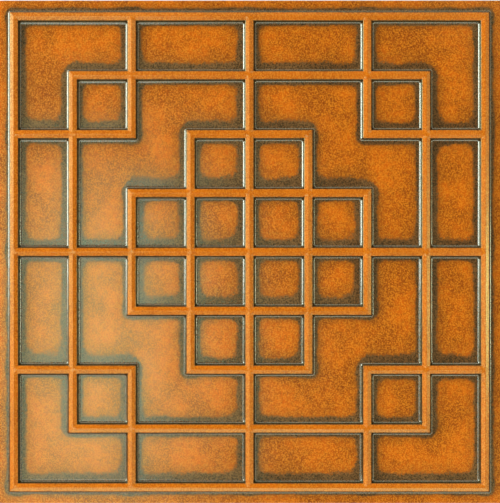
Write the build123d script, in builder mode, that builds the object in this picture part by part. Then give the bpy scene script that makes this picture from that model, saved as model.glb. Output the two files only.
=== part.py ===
"""Faux tin ceiling tile: a square vacuum-formed sheet with a fretwork of hollow raised bars.

Every bar has steep drafted walls and a low hipped crown, mitred where bars turn or cross.
The sheet keeps one thickness throughout, so the back is the face's negative, with the bars
hollow and open behind. Millimetres; the tile lies on its back, face up along +Z, with the
origin at the middle of the back plane.
"""

import os
from math import atan, cos, degrees, radians, tan

from build123d import *

# Driving dimensions
tile_size = 603.0  # a lay-in tile for a 2 ft (610 mm) grid module
sheet = 0.7  # formed sheet thickness
cells = 8  # grid cells along each side of the fretwork
rim_width = 19.9  # from the outermost bar's centreline to the tile's edge
crown_width = 10.0  # across a bar's crown, eave to eave
ridge_flat = 0.6  # blunt top of the crown
eave_height = 6.0  # from the back plane to the crown's eaves
ridge_height = 7.6  # from the back plane to the ridge
wall_draft = 12.0  # degrees from upright
eave_radius = 1.3  # outside radius where a bar's crown meets its wall
foot_radius = 3.2  # inside radius where a bar's wall meets the flat panel
level_gap = 0.01  # how far an edge may lie from the level it is picked at
hollow_depth = 1.0  # how far the form behind the sheet starts below the back plane

# Where bars run on each grid line, as start and end cells. The fret is the same read
# across or down, and its second half mirrors the first.
BAR_SPANS = [
    [(0, 8)],
    [(1, 7)],
    [(0, 2), (3, 5), (6, 8)],
    [(2, 6)],
    [(0, 8)],
    [(2, 6)],
    [(0, 2), (3, 5), (6, 8)],
    [(1, 7)],
    [(0, 8)],
]

# Derived sizes: one bar's centreline to the next, and the slope of the crown from level
pitch = (tile_size - 2 * rim_width) / cells
crown_slope = atan((ridge_height - eave_height) / (crown_width / 2 - ridge_flat / 2))


class BarSection:
    """Half section of a bar, on the face or, one sheet thickness inside it, on the back."""

    def __init__(self, inset):
        run = tan(radians(wall_draft))
        rise = tan(crown_slope)
        self.floor_z = sheet - inset
        self.ridge_z = ridge_height - inset
        # Each slanted line moves square to itself, and the eave is where the two cross.
        wall_at_zero = crown_width / 2 + run * eave_height - inset / cos(radians(wall_draft))
        crown_at_centre = ridge_height + rise * ridge_flat / 2 - inset / cos(crown_slope)
        self.eave_z = (crown_at_centre - rise * wall_at_zero) / (1 - rise * run)
        self.eave_half = wall_at_zero - run * self.eave_z
        self.floor_half = wall_at_zero - run * self.floor_z


def bar_places():
    """Middle, length and turn of every bar, those across the tile and those up it."""
    for line, spans in enumerate(BAR_SPANS):
        offset_line = (line - cells / 2) * pitch
        for start, end in spans:
            middle = ((start + end) / 2 - cells / 2) * pitch
            length = (end - start) * pitch
            yield Location((middle, offset_line)), length
            yield Location((offset_line, middle), 90), length


def edges_at(body, level):
    """Level edges of a body at one height, the shortest first."""
    edges = body.edges().filter_by_position(Axis.Z, level - level_gap, level + level_gap)
    return edges.sort_by(SortBy.LENGTH)


def formed_body(section, plate_bottom, foot, eave):
    """Flat plate with every bar of the fret standing on it, its eaves and feet rounded."""
    with BuildPart() as body:
        with BuildSketch(Plane.XY.offset(plate_bottom)):
            Rectangle(tile_size, tile_size)
        extrude(amount=section.floor_z - plate_bottom)
        for place, length in bar_places():
            # Drafted walls up to the eaves, then the low hipped crown
            with BuildSketch(Plane.XY.offset(section.floor_z)):
                with Locations(place):
                    Rectangle(length + 2 * section.floor_half, 2 * section.floor_half)
            extrude(amount=section.eave_z - section.floor_z, taper=wall_draft)
            with BuildSketch(Plane.XY.offset(section.eave_z)):
                with Locations(place):
                    Rectangle(length + 2 * section.eave_half, 2 * section.eave_half)
            extrude(amount=section.ridge_z - section.eave_z, taper=90 - degrees(crown_slope))
        # The four longest edges at the floor are the plate's own outline.
        fillet(edges_at(body, section.floor_z)[:-4], foot)
        fillet(edges_at(body, section.eave_z), eave)
    return body.part


face = formed_body(BarSection(0), 0, foot_radius, eave_radius)
# Round the same centres behind the sheet, the feet are wider by its thickness and the eaves tighter.
behind = formed_body(BarSection(sheet), -hollow_depth, foot_radius + sheet, eave_radius - sheet)

with BuildPart() as tile:
    add(face)
    add(behind, mode=Mode.SUBTRACT)

ceiling_tile = tile.part
ceiling_tile.label = "ceiling_tile"
os.makedirs("parts", exist_ok=True)
export_step(ceiling_tile, "parts/ceiling_tile.step")
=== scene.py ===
"""Looks of the faux tin ceiling tile: the formed sheet, its aged copper paint, light and camera.

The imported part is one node, a thin sheet with a fretwork of hollow bars. Here that sheet is
made again as a finer mesh, with rounded panel corners and a slight unevenness, and it stands
in for the node. The sheet's own sizes are in millimetres, and the scene is in metres.
"""

import math

import bpy
import numpy as np
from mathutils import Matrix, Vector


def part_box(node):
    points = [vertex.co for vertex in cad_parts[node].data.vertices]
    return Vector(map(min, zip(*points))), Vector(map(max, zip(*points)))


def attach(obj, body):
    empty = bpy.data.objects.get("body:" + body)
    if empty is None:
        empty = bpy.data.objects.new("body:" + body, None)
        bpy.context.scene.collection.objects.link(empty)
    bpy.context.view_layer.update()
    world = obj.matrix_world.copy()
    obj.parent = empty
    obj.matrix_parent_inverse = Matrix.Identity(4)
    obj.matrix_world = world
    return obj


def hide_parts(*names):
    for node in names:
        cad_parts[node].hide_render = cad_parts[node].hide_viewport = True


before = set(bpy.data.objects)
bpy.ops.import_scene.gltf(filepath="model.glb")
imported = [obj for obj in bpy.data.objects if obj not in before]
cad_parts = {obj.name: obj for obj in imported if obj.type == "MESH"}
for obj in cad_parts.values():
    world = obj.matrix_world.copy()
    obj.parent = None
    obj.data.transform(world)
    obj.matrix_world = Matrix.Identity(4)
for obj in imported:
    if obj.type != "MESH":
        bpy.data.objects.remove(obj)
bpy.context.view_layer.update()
tile_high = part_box("ceiling_tile")[1]

# Sheet, in millimetres, with the same sizes as the part's source
mm = 0.001
tile_half = tile_high.x / mm
ridge_height = tile_high.z / mm
sheet = 0.7
cells = 8
rim_width = 19.9
crown_half = 5.0
ridge_half = 0.3
eave_height = 6.0
wall_draft = math.radians(12)
eave_radius = 1.3
foot_radius = 3.2
pitch = 2 * (tile_half - rim_width) / cells

# Roundings that only this finer mesh has
ridge_radius = 1.5
panel_corner_radius = 3.8
bar_corner_radius = 0.7

# Steps round the ridge, the eave and the foot: of the smooth surface, and of the mesh on it
smooth_steps = (24, 24, 24)
mesh_steps = (1, 2, 3)
# Where mesh lines cross a panel, as shares of the way from a bar's foot to the panel's middle:
# closest beside the bars, where the patina ends
panel_line_shares = np.array([0.17, 0.45, 1.0])

# Where bars run on each grid line, as start and end cells; the same read across or up
BAR_SPANS = [
    [(0, 8)],
    [(1, 7)],
    [(0, 2), (3, 5), (6, 8)],
    [(2, 6)],
    [(0, 8)],
    [(2, 6)],
    [(0, 2), (3, 5), (6, 8)],
    [(1, 7)],
    [(0, 8)],
]

# Slight unevenness of a formed sheet: how tall its waves are, how far a panel's middle stands
# proud, and how softly that rise turns the panel's corners
wave_height = 0.12
panel_rise = 0.35
panel_softness = 16

# Width of the dark patina from the crown's edge: on each side of a panel, beside the rim, and
# past the end of a bar
patina_left = 7.4
patina_right = 8.2
patina_top = 5.6
patina_bottom = 11.4
patina_rim = 5.8
patina_past_end = 5.0
# How much that width varies from wall to wall, as a share, and the seed it is drawn from
patina_spread = 0.25
patina_seed = 11
# How softly the patina turns outside corners, in millimetres, and inside ones, as a share
outside_softness = 10
inside_softness = 1.4


def grid_line(index):
    """Position of a grid line from the tile's middle."""
    return (index - cells / 2) * pitch


def fret_bars():
    """Every bar as its line, start and end; the same list serves bars across and bars up."""
    for line, spans in enumerate(BAR_SPANS):
        for start, end in spans:
            yield grid_line(line), grid_line(start), grid_line(end)


def rounded_section(corners, radii, steps):
    """Section line with its inner corners rounded, as distances out, heights and normals."""
    points = [corners[0]]
    normals = [np.array([0.0, 1.0])]
    for before, corner, after, radius, count in zip(corners, corners[1:], corners[2:], radii, steps):
        arriving = (corner - before) / np.linalg.norm(corner - before)
        leaving = (after - corner) / np.linalg.norm(after - corner)
        bend = arriving[0] * leaving[1] - arriving[1] * leaving[0]
        turn = math.atan2(bend, float(arriving @ leaving))
        first = corner - arriving * radius * math.tan(abs(turn) / 2)
        start = math.atan2(arriving[0], -arriving[1])
        centre_side = math.copysign(radius, turn)
        centre = first + centre_side * np.array([math.cos(start), math.sin(start)])
        for step in range(count + 1):
            angle = start + turn * step / count
            normal = np.array([math.cos(angle), math.sin(angle)])
            points.append(centre - centre_side * normal)
            normals.append(normal)
    points.append(corners[-1])
    normals.append(np.array([0.0, 1.0]))
    return np.array(points), np.array(normals)


def face_section(steps):
    """Half section of a bar on the face, with a number of steps at its ridge, eave and foot."""
    foot = crown_half + (eave_height - sheet) * math.tan(wall_draft)
    corners = [
        np.array([0.0, ridge_height]),
        np.array([ridge_half, ridge_height]),
        np.array([crown_half, eave_height]),
        np.array([foot, sheet]),
        np.array([tile_half, sheet]),
    ]
    return rounded_section(corners, [ridge_radius, eave_radius, foot_radius], steps)


class Side:
    """Face or back of the sheet: its section, its grid lines and its height anywhere."""

    def __init__(self, inset):
        points, normals = face_section(smooth_steps)
        self.section = points - inset * normals
        coarse_points, coarse_normals = face_section(mesh_steps)
        self.lines = grid_lines((coarse_points - inset * coarse_normals)[1:-1, 0])

    def height(self, x, y):
        """Height of the surface, with the unevenness that face and back share."""
        distance = fret_distance(x, y)
        level = np.interp(distance, self.section[:, 0], self.section[:, 1])
        return level + unevenness(x, y)


def grid_lines(offsets):
    """Mesh lines along one axis: dense over every bar, sparse over panels and rim."""
    panel = offsets[-1] + (pitch / 2 - offsets[-1]) * panel_line_shares
    rim = np.linspace(offsets[-1], rim_width, 3)[1:]
    lines = []
    for index in range(cells + 1):
        outward = [np.concatenate([offsets, panel])] * 2
        if index == 0:
            outward[0] = np.concatenate([offsets, rim])
        if index == cells:
            outward[1] = np.concatenate([offsets, rim])
        centre = grid_line(index)
        lines.extend(centre - outward[0])
        lines.extend(centre + outward[1])
    return np.unique(np.round(lines, 6))


def bar_distances(across, along):
    """Distance from the nearest bar that runs one way, and from the nearest one alongside."""
    nearest = np.full(across.shape, np.inf)
    alongside = np.full(across.shape, np.inf)
    corner = crown_half - bar_corner_radius
    for line, start, end in fret_bars():
        side = np.abs(across - line)
        past_end = np.maximum(start - along, along - end)
        square = np.maximum(side, past_end)
        rounded = corner + np.hypot(side - corner, past_end - corner)
        at_corner = (side > corner) & (past_end > corner)
        nearest = np.minimum(nearest, np.where(at_corner, rounded, square))
        alongside = np.where(past_end < 0, np.minimum(alongside, side), alongside)
    return nearest, alongside


def fret_distance(x, y):
    """Distance out from the fret's centrelines, easing round the inside corners of panels."""
    near_level, beside_level = bar_distances(y, x)
    near_upright, beside_upright = bar_distances(x, y)
    nearest = np.minimum(near_level, near_upright)
    # The corner's radius grows from nothing at the eaves to its full size at the floor.
    wall_run = (eave_height - sheet) * math.tan(wall_draft)
    radius = panel_corner_radius * np.clip((nearest - crown_half) / wall_run, 0, 1)
    level = beside_level - crown_half
    upright = beside_upright - crown_half
    in_corner = (level < radius) & (upright < radius)
    short_level = np.where(in_corner, radius - level, 0)
    short_upright = np.where(in_corner, radius - upright, 0)
    eased = crown_half + radius - np.hypot(short_level, short_upright)
    return np.where(in_corner, eased, nearest)


def soft_minimum(first, second, softness):
    """Smaller of two values, easing from one to the other where they are close."""
    share = np.clip(0.5 + 0.5 * (second - first) / softness, 0, 1)
    return second * (1 - share) + first * share - softness * share * (1 - share)


def unevenness(x, y):
    """Long shallow waves of the formed sheet, and panels that stand a little proud."""
    short_wave = 0.6
    waves = np.sin(x / 61 + 1.3) * np.sin(y / 47 + 0.4) + np.sin((x + y) / 83 + 2.1)
    waves += short_wave * np.sin((x - 1.7 * y) / 39 + 0.8)
    # The waves swing by their sum either way, so this brings them to between nought and one.
    wave_share = (waves / (2 + short_wave) + 1) / 2
    to_rim = np.clip((tile_half - np.maximum(np.abs(x), np.abs(y))) / rim_width, 0, 1)
    inward = soft_minimum(bar_distances(y, x)[0], bar_distances(x, y)[0], panel_softness)
    short = 1 - np.clip((inward - crown_half) / (pitch / 2 - crown_half), 0, 1)
    return wave_height * wave_share * to_rim + panel_rise * (1 - short * short) * to_rim


def patina_reach(x, y):
    """Distance from the bars as a share of the patina's width, which differs wall by wall."""
    dice = np.random.default_rng(patina_seed)
    shares = []
    for across, along, low_width, high_width in (
        (y, x, patina_top, patina_bottom),
        (x, y, patina_right, patina_left),
    ):
        share = np.full(across.shape, np.inf)
        for line, start, end in fret_bars():
            side = across - line
            past_end = np.maximum(start - along, along - end)
            distance = -soft_minimum(-np.abs(side), -past_end, outside_softness) - crown_half
            low, high = low_width, high_width
            if line == grid_line(0):
                low = patina_rim
            if line == grid_line(cells):
                high = patina_rim
            low *= 1 + patina_spread * dice.uniform(-1, 1)
            high *= 1 + patina_spread * dice.uniform(-1, 1)
            beside = np.where(side > 0, high, low)
            at_end = np.clip(past_end / (2 * crown_half), 0, 1)
            width = beside + (patina_past_end - beside) * at_end
            share = np.minimum(share, distance / width)
        shares.append(share)
    return soft_minimum(shares[0], shares[1], inside_softness)


def grid_triangles(side, x, y, z):
    """Two triangles to a grid cell, split along whichever diagonal follows the surface."""
    count = len(side.lines)
    index = np.arange(count * count).reshape(count, count)
    a, b = index[:-1, :-1], index[1:, :-1]
    c, d = index[1:, 1:], index[:-1, 1:]
    middle_x = (x[:-1, :-1] + x[1:, 1:]) / 2
    middle_y = (y[:-1, :-1] + y[1:, 1:]) / 2
    middle = side.height(middle_x, middle_y)
    rising = np.abs(z[:-1, :-1] + z[1:, 1:] - 2 * middle)
    falling = np.abs(z[1:, :-1] + z[:-1, 1:] - 2 * middle)
    split_ac = rising <= falling
    first = np.where(split_ac[..., None], np.stack([a, b, c], -1), np.stack([a, b, d], -1))
    second = np.where(split_ac[..., None], np.stack([a, c, d], -1), np.stack([b, c, d], -1))
    return np.concatenate([first.reshape(-1, 3), second.reshape(-1, 3)])


def corner_normals(side, corners):
    """Normal at each triangle corner, taken just inside the triangle so that creases stay crisp."""
    step = 0.004
    inward_share = 0.04
    inward = corners + inward_share * (corners.mean(axis=1, keepdims=True) - corners)
    x, y = inward[..., 0].ravel(), inward[..., 1].ravel()
    slope_x = (side.height(x + step, y) - side.height(x - step, y)) / (2 * step)
    slope_y = (side.height(x, y + step) - side.height(x, y - step)) / (2 * step)
    normals = np.stack([-slope_x, -slope_y, np.ones_like(slope_x)], -1)
    return normals / np.linalg.norm(normals, axis=1, keepdims=True)


def rim_triangles(count):
    """Cut edge of the sheet: strips that join the outlines of the face and the back."""
    index = np.arange(count * count).reshape(count, count)
    outline = [index[:-1, 0], index[-1, :-1], index[:0:-1, -1], index[0, :0:-1]]
    outward = [(0, -1, 0), (1, 0, 0), (0, 1, 0), (-1, 0, 0)]
    loop = np.concatenate(outline)
    normals = np.repeat(outward, [len(part) for part in outline], axis=0)
    following = np.roll(loop, -1)
    behind = count * count
    first = np.stack([loop + behind, following + behind, following], -1)
    second = np.stack([loop + behind, following, loop], -1)
    triangles = np.concatenate([first, second])
    return triangles, np.repeat(np.concatenate([normals, normals]), 3, axis=0)


def sheet_surfaces():
    """Points, triangles, corner normals and paint numbers of the face, the back and the edge."""
    face, back = Side(0), Side(sheet)
    points, triangles, normals, paints = [], [], [], []
    for number, side in enumerate((face, back)):
        x, y = np.meshgrid(side.lines, side.lines, indexing="ij")
        z = side.height(x, y)
        made = grid_triangles(side, x, y, z)
        flat = np.stack([x, y, z], -1).reshape(-1, 3)
        if side is back:
            made = made[:, ::-1]
        made_normals = corner_normals(side, flat[made])
        points.append(flat)
        triangles.append(made + number * len(flat))
        normals.append(made_normals if side is face else -made_normals)
        paints.append(np.full(len(made), number))
    edge, edge_normals = rim_triangles(len(face.lines))
    triangles.append(edge)
    normals.append(edge_normals)
    paints.append(np.ones(len(edge), int))
    return [np.concatenate(pieces) for pieces in (points, triangles, normals, paints)]


def make_sheet(face_paint, back_plastic):
    """Whole formed sheet as one closed mesh, painted on its face and bare behind."""
    points, triangles, normals, paints = sheet_surfaces()
    mesh = bpy.data.meshes.new("formed_sheet")
    mesh.from_pydata(points * mm, [], triangles.tolist())
    mesh.materials.append(face_paint)
    mesh.materials.append(back_plastic)
    mesh.polygons.foreach_set("material_index", paints.astype(np.int32))
    mesh.polygons.foreach_set("use_smooth", np.ones(len(triangles), bool))
    store_attribute(mesh, "wall_gap", fret_distance(points[:, 0], points[:, 1]) - crown_half)
    store_attribute(mesh, "patina_reach", patina_reach(points[:, 0], points[:, 1]))
    mesh.update()
    mesh.normals_split_custom_set(normals.tolist())
    tile = bpy.data.objects.new("formed_sheet", mesh)
    bpy.context.scene.collection.objects.link(tile)
    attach(tile, "root")
    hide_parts("ceiling_tile")


def store_attribute(mesh, name, values):
    """Number at every vertex of the sheet that its paint reads."""
    attribute = mesh.attributes.new(name, "FLOAT", "POINT")
    attribute.data.foreach_set("value", np.asarray(values, np.float32))


class Graph:
    """Short calls that build one material's nodes."""

    def __init__(self, name):
        self.material = bpy.data.materials.new(name)
        self.material.use_nodes = True
        self.tree = self.material.node_tree
        self.tree.nodes.clear()
        self.shader = self.tree.nodes.new("ShaderNodeBsdfPrincipled")
        output = self.tree.nodes.new("ShaderNodeOutputMaterial")
        self.tree.links.new(self.shader.outputs[0], output.inputs[0])
        self.place = self.tree.nodes.new("ShaderNodeTexCoord").outputs["Object"]

    def feed(self, socket, value):
        """Sets a socket to a number or colour, or links it to another socket."""
        if isinstance(value, bpy.types.NodeSocket):
            self.tree.links.new(value, socket)
        elif isinstance(value, tuple) and len(socket.default_value) == 4:
            socket.default_value = (*value[:3], 1.0)
        else:
            socket.default_value = value

    def attribute(self, name):
        """Number that the mesh holds at each point."""
        node = self.tree.nodes.new("ShaderNodeAttribute")
        node.attribute_name = name
        return node.outputs["Fac"]

    def noise(self, size, detail, rough, shift=0.0):
        """Noise from 0 to 1 whose features are about a size, in millimetres."""
        mapping = self.tree.nodes.new("ShaderNodeMapping")
        self.feed(mapping.inputs["Vector"], self.place)
        mapping.inputs["Location"].default_value = (shift, shift, shift)
        node = self.tree.nodes.new("ShaderNodeTexNoise")
        self.feed(node.inputs["Vector"], mapping.outputs["Vector"])
        node.inputs["Scale"].default_value = 1 / (size * mm)
        node.inputs["Detail"].default_value = detail
        node.inputs["Roughness"].default_value = rough
        return node.outputs["Fac"]

    def speckle(self, size):
        """Grains of about a size, in millimetres, each with a value of its own."""
        node = self.tree.nodes.new("ShaderNodeTexVoronoi")
        self.feed(node.inputs["Vector"], self.place)
        node.inputs["Scale"].default_value = 1 / (size * mm)
        return node.outputs["Color"]

    def math(self, operation, first, second):
        """Two values joined by one operation."""
        node = self.tree.nodes.new("ShaderNodeMath")
        node.operation = operation
        self.feed(node.inputs[0], first)
        self.feed(node.inputs[1], second)
        return node.outputs[0]

    def scaled(self, value, factor):
        """Value times a factor."""
        return self.math("MULTIPLY", value, factor)

    def swing(self, value, width):
        """Noise turned into a swing about nought, of a full width."""
        return self.scaled(self.math("SUBTRACT", value, 0.5), width)

    def span(self, value, low, high, to_low=0.0, to_high=1.0):
        """Value brought smoothly from one range to another, and held at its ends."""
        node = self.tree.nodes.new("ShaderNodeMapRange")
        node.interpolation_type = "SMOOTHSTEP"
        self.feed(node.inputs["Value"], value)
        node.inputs["From Min"].default_value = low
        node.inputs["From Max"].default_value = high
        node.inputs["To Min"].default_value = to_low
        node.inputs["To Max"].default_value = to_high
        return node.outputs[0]

    def mix(self, share, first, second):
        """First colour or value, going over to the second by a share."""
        node = self.tree.nodes.new("ShaderNodeMix")
        node.data_type = "RGBA"
        self.feed(node.inputs[0], share)
        self.feed(node.inputs[6], first)
        self.feed(node.inputs[7], second)
        return node.outputs[2]

    def bump(self, height, distance, strength):
        """Fine relief as tall as a distance, in millimetres, at its full strength."""
        node = self.tree.nodes.new("ShaderNodeBump")
        node.inputs["Strength"].default_value = strength
        node.inputs["Distance"].default_value = distance * mm
        self.feed(node.inputs["Height"], height)
        self.feed(self.shader.inputs["Normal"], node.outputs[0])

    def set(self, **values):
        """Shader inputs by name, with underscores for spaces."""
        for name, value in values.items():
            self.feed(self.shader.inputs[name.replace("_", " ")], value)


def screen_colour(red, green, blue):
    """Linear colour of an 8-bit screen colour."""
    def linear(value):
        share = value / 255
        return share / 12.92 if share <= 0.04045 else ((share + 0.055) / 1.055) ** 2.4
    return (linear(red), linear(green), linear(blue))


def worn_copper(graph, wall_gap, grain_share, mottle):
    """Colour of the copper: clouded from bright to deep, grainy, and cleaner on the crowns."""
    clouds = graph.span(graph.noise(58, 3.0, 0.6), 0.38, 0.62)
    specks = graph.span(graph.noise(2.2, 1.0, 0.5, shift=1.9), 0.62, 0.72)
    crown = graph.span(wall_gap, -1.8, -0.6, 1.0, 0.0)
    # Mottling, grain and specks are fainter on the crowns.
    marking = graph.math("SUBTRACT", 1.0, graph.scaled(crown, 0.2))
    mottled = graph.math("MULTIPLY", mottle, graph.scaled(marking, 0.5))
    grained = graph.math("MULTIPLY", grain_share, graph.scaled(marking, 0.75))
    specked = graph.math("MULTIPLY", specks, graph.scaled(marking, 0.45))

    bright, deep = screen_colour(204, 94, 3), screen_colour(140, 58, 4)
    copper = graph.mix(clouds, bright, deep)
    copper = graph.mix(mottled, copper, screen_colour(132, 62, 6))
    copper = graph.mix(graph.scaled(crown, 0.7), copper, screen_colour(208, 106, 4))
    copper = graph.mix(grained, copper, screen_colour(228, 133, 12))
    return graph.mix(specked, copper, screen_colour(122, 60, 6))


def dark_patina(graph, wall_gap, grain_share):
    """Colour of the patina: olive in some places, brown in others, with painted shade making it
    darkest on the walls and at their foot.
    """
    drift = graph.span(graph.noise(55, 2.0, 0.5, shift=5.3), 0.38, 0.62)
    olive, brown = screen_colour(132, 86, 42), screen_colour(116, 68, 26)
    patina = graph.mix(drift, olive, brown)
    patina = graph.mix(graph.scaled(grain_share, 0.85), patina, screen_colour(46, 28, 10))
    # Painted shade: the patina is darkened further on the walls and at their foot, where the crease
    # beside each bar is shaded.
    painted_foot_shade = graph.span(wall_gap, 0.4, 3.2, 0.8, 0.0)
    return graph.mix(painted_foot_shade, patina, screen_colour(44, 26, 8))


def aged_copper():
    """Copper paint worn bright on the raised parts, with dark patina left beside the bars."""
    graph = Graph("aged_copper")
    # Millimetres out from the edge of the nearest crown, below nought on the crown itself
    wall_gap = graph.attribute("wall_gap")
    reach = graph.attribute("patina_reach")

    mottle = graph.span(graph.noise(8, 4.0, 0.7, shift=3.1), 0.44, 0.64)
    grain = graph.noise(1.9, 2.0, 0.8, shift=7.7)
    speckled = graph.math("ADD", grain, graph.swing(graph.speckle(1.0), 1.0))
    grain_share = graph.span(speckled, 0.22, 0.78)
    copper = worn_copper(graph, wall_gap, grain_share, mottle)
    patina = dark_patina(graph, wall_gap, grain_share)

    # Ragged edge of the patina: broad wander, then crumbling at the scale of the grain
    wander = graph.swing(graph.noise(22, 2.0, 0.5, shift=9.2), 0.8)
    crumble = graph.swing(graph.noise(2.6, 3.0, 0.8, shift=4.4), 1.1)
    edge = graph.math("ADD", reach, graph.math("ADD", wander, crumble))
    off_crown = graph.span(wall_gap, -0.45, 0.05)
    patina_share = graph.math("MULTIPLY", graph.span(edge, 0.78, 1.22, 1.0, 0.0), off_crown)
    stain = graph.math("MULTIPLY", graph.span(edge, 0.8, 2.6, 0.30, 0.0), off_crown)
    copper = graph.mix(stain, copper, screen_colour(110, 70, 20))
    colour = graph.mix(patina_share, copper, patina)

    # Gloss follows the grain: bright grains of copper are duller, and dark grains of patina glossier
    copper_roughness = graph.span(grain_share, 0.0, 1.0, 0.22, 0.28)
    patina_roughness = graph.span(grain_share, 0.0, 1.0, 0.33, 0.25)
    roughness = graph.mix(patina_share, copper_roughness, patina_roughness)
    graph.set(Base_Color=colour, Roughness=roughness, Specular_IOR_Level=1.0)
    graph.set(Specular_Tint=(0.63, 1.0, 0.47))

    # Clear coat that has pooled at the foot of the walls
    off_wall = graph.span(wall_gap, 0.8, 1.5)
    pooled = graph.math("MULTIPLY", off_wall, graph.span(wall_gap, 2.2, 4.2, 1.0, 0.15))
    coat = graph.math("MULTIPLY", pooled, patina_share)
    graph.set(Coat_Weight=coat, Coat_Roughness=0.17, Coat_IOR=1.9)
    graph.bump(graph.math("ADD", grain, graph.scaled(mottle, 0.5)), 0.10, 0.5)
    return graph.material


def bare_plastic():
    """Unpainted off-white sheet, seen behind and on the cut edges."""
    graph = Graph("bare_plastic")
    clouds = graph.span(graph.noise(35, 3.0, 0.5), 0.3, 0.7)
    fine = graph.noise(2.6, 1.0, 0.5, shift=2.4)
    colour = graph.mix(clouds, screen_colour(222, 218, 206), screen_colour(206, 202, 190))
    graph.set(Base_Color=colour, Roughness=graph.span(fine, 0.3, 0.7, 0.34, 0.44), IOR=1.53)
    graph.bump(fine, 0.02, 0.3)
    return graph.material


def pale_floor():
    """Plain floor that the tile lies on."""
    graph = Graph("pale_floor")
    graph.set(Base_Color=(0.78, 0.78, 0.76), Roughness=0.7)
    mesh = bpy.data.meshes.new("floor")
    half, drop = 4.0, -0.0003
    corners = [(-half, -half, drop), (half, -half, drop), (half, half, drop), (-half, half, drop)]
    mesh.from_pydata(corners, [], [(0, 1, 2, 3)])
    mesh.materials.append(graph.material)
    floor = bpy.data.objects.new("floor", mesh)
    bpy.context.scene.collection.objects.link(floor)


def add_camera():
    """Camera straight above the tile's middle, cropping its rim as the photograph does."""
    distance = 1.3
    photo_long_side = 503
    ridge_metres_per_pixel = 1.1938 * mm
    # How far the picture's middle lies from the tile's, in pixels
    right, up = 0.5, 0.4
    data = bpy.data.cameras.new("camera")
    data.sensor_width = 36.0
    to_ridge = distance - tile_high.z
    data.lens = data.sensor_width * to_ridge / (photo_long_side * ridge_metres_per_pixel)
    camera = bpy.data.objects.new("camera", data)
    camera.location = (right * ridge_metres_per_pixel, up * ridge_metres_per_pixel, distance)
    bpy.context.scene.collection.objects.link(camera)
    bpy.context.scene.camera = camera


def add_lamp(name, place, rotation, size, radiance, colour):
    """Rectangular soft light of a radiance, unseen by the camera; places and sizes in metres."""
    data = bpy.data.lights.new(name, "AREA")
    data.shape = "RECTANGLE"
    data.size, data.size_y = size
    data.energy = radiance * math.pi * size[0] * size[1]
    data.color = colour
    lamp = bpy.data.objects.new(name, data)
    lamp.location = place
    lamp.rotation_euler = rotation
    lamp.visible_camera = False
    bpy.context.scene.collection.objects.link(lamp)


def add_window(name, bearing, elevation, distance, size, radiance, colour):
    """Upright light facing the tile, by its bearing from +X and its height in degrees."""
    around, above = math.radians(bearing), math.radians(elevation)
    flat = distance * math.cos(above)
    place = (flat * math.cos(around), flat * math.sin(around), distance * math.sin(above))
    add_lamp(name, place, (math.pi / 2 - above, 0, around + math.pi / 2), size, radiance, colour)


def add_lights():
    """Bright window low on the left, weaker ones on the other sides, and a dim pale room."""
    add_window("window_left", 168, 21, 4.0, (2.0, 1.6), 13.0, (0.97, 0.96, 1.0))
    add_window("sky_left", 174, 46, 2.0, (1.6, 0.7), 1.7, (0.95, 0.98, 1.0))
    add_window("window_right", 356, 32, 2.0, (0.40, 0.26), 13.0, (1.0, 0.97, 0.75))
    add_window("bounce_right", 350, 38, 2.0, (2.0, 0.9), 0.85, (1.0, 0.94, 0.80))
    add_window("near_side", 268, 32, 2.0, (2.2, 0.8), 2.4, (1.0, 0.98, 0.95))
    add_window("far_side", 92, 25, 4.0, (4.0, 1.1), 2.2, (1.0, 0.96, 0.88))
    add_lamp("haze", (-0.64, -0.38, 3.0), (0, 0, 0), (0.58, 1.35), 4.8, (0.84, 0.91, 1.0))
    # A low lamp off one corner glints in the corners of panels. Those off the other three stand
    # where no level or sloped part of the tile mirrors them.
    add_window("corner_135", 138, 23, 4.0, (0.9, 1.3), 9.0, (0.97, 0.97, 1.0))
    for bearing in (45, 225, 315):
        add_window(f"corner_{bearing}", bearing, 50, 4.5, (1.6, 1.6), 2.0, (1.0, 0.98, 0.95))
    world = bpy.data.worlds.new("room")
    world.use_nodes = True
    background = world.node_tree.nodes["Background"]
    background.inputs["Color"].default_value = (1.0, 0.99, 0.97, 1.0)
    background.inputs["Strength"].default_value = 0.10
    bpy.context.scene.world = world


make_sheet(aged_copper(), bare_plastic())
pale_floor()
add_camera()
add_lights()
bpy.context.scene.view_settings.view_transform = "Standard"
